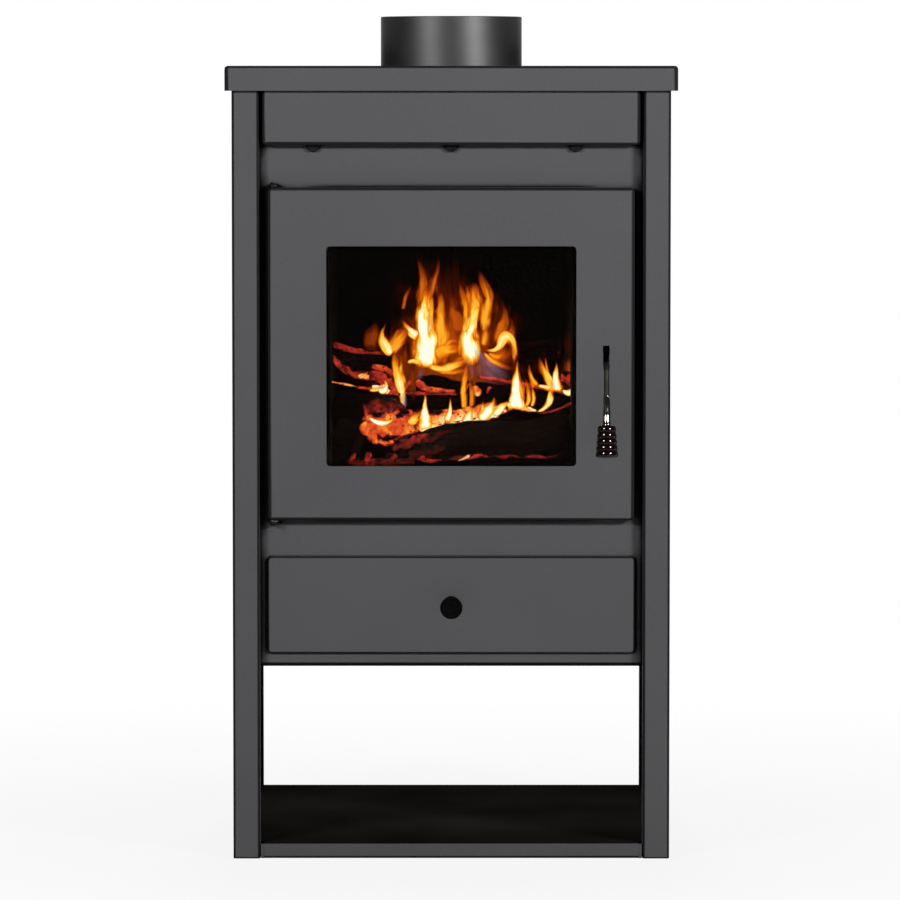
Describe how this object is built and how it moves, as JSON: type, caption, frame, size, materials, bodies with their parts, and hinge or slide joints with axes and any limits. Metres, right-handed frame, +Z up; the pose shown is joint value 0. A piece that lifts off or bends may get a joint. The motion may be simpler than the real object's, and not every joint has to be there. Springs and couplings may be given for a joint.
{
  "type": "wood stove",
  "caption": "Free-standing steel wood stove with a glazed hinged door, lift latch, ash drawer, top flue collar and an open wood bay below.",
  "frame": {"origin": "on the floor, under the middle of the stove's whole width and depth with its latch handle", "axes": "+Z up, -Y out of the front with the door, +X to the right seen from the front"},
  "size_m": [0.4, 0.4368, 0.75],
  "materials": {
    "body_paint": "matte",
    "collar_paint": "satin",
    "sheet_steel": "satin",
    "grate_iron": "matte",
    "firebrick": "matte",
    "black_steel": "satin",
    "glass_rope": "matte",
    "fire_glass": "gloss",
    "chrome": "gloss",
    "grip_plastic": "gloss"
  },
  "bodies": {
    "cabinet": {"left_side_panel": "body_paint", "right_side_panel": "body_paint", "top_cap": "body_paint", "flue_collar": "collar_paint", "fascia_panel": "body_paint", "front_plate": "body_paint", "base_plate": "body_paint", "shelf_plate": "body_paint", "firebox_shell": "sheet_steel", "firebox_roof": "sheet_steel", "baffle_plate": "sheet_steel", "hearth_plate": "sheet_steel", "grate": "grate_iron", "log_fence": "sheet_steel", "airwash_plate": "sheet_steel", "rear_shield": "body_paint", "firebrick_left_front": "firebrick", "firebrick_left_rear": "firebrick", "firebrick_back_left": "firebrick", "firebrick_right_front": "firebrick", "firebrick_right_rear": "firebrick", "firebrick_back_right": "firebrick", "airwash_bolt_left": "black_steel", "airwash_bolt_middle": "black_steel", "airwash_bolt_right": "black_steel", "hearth_ledge_left": "sheet_steel", "hearth_ledge_right": "sheet_steel", "drawer_runner_left": "sheet_steel", "drawer_runner_right": "sheet_steel", "air_slide_guide_left": "sheet_steel", "air_slide_guide_right": "sheet_steel", "hinge_lug_upper": "black_steel", "hinge_lug_lower": "black_steel", "hinge_washer": "sheet_steel"},
    "door": {"door_panel": "body_paint", "hinge_pin_upper": "black_steel", "hinge_pin_lower": "black_steel", "door_seal_channel": "sheet_steel", "door_rope_seal": "glass_rope", "glass_gasket": "glass_rope", "door_glass": "fire_glass", "latch_bracket": "sheet_steel", "latch_pin": "black_steel", "glass_clip_upper_left": "sheet_steel", "glass_clip_upper_right": "sheet_steel", "glass_clip_lower_left": "sheet_steel", "glass_clip_lower_right": "sheet_steel"},
    "latch": {"latch_lever": "black_steel", "latch_ferrule": "chrome", "latch_grip": "grip_plastic"},
    "drawer": {"drawer_front": "body_paint", "ash_pan": "sheet_steel", "ash_pan_front": "sheet_steel", "drawer_knob": "grip_plastic", "knob_screw": "black_steel"},
    "air_slide": {"air_slide": "sheet_steel"}
  },
  "joints": [
    {"name": "door_hinge", "type": "hinge", "parent": "cabinet", "child": "door", "pos_m": [-0.157, -0.18213, 0.44935], "axis": [0, 0, -1], "range_deg": [0, 120]},
    {"name": "latch_pivot", "type": "hinge", "parent": "door", "child": "latch", "pos_m": [0.1371, -0.17933, 0.4407], "axis": [-1, 0, 0], "range_deg": [0, 45]},
    {"name": "drawer_slide", "type": "slide", "parent": "cabinet", "child": "drawer", "axis": [0, -1, 0], "range_m": [0, 0.25]},
    {"name": "air_slide_travel", "type": "slide", "parent": "cabinet", "child": "air_slide", "axis": [0, 1, 0], "range_m": [0, 0.015]}
  ]
}
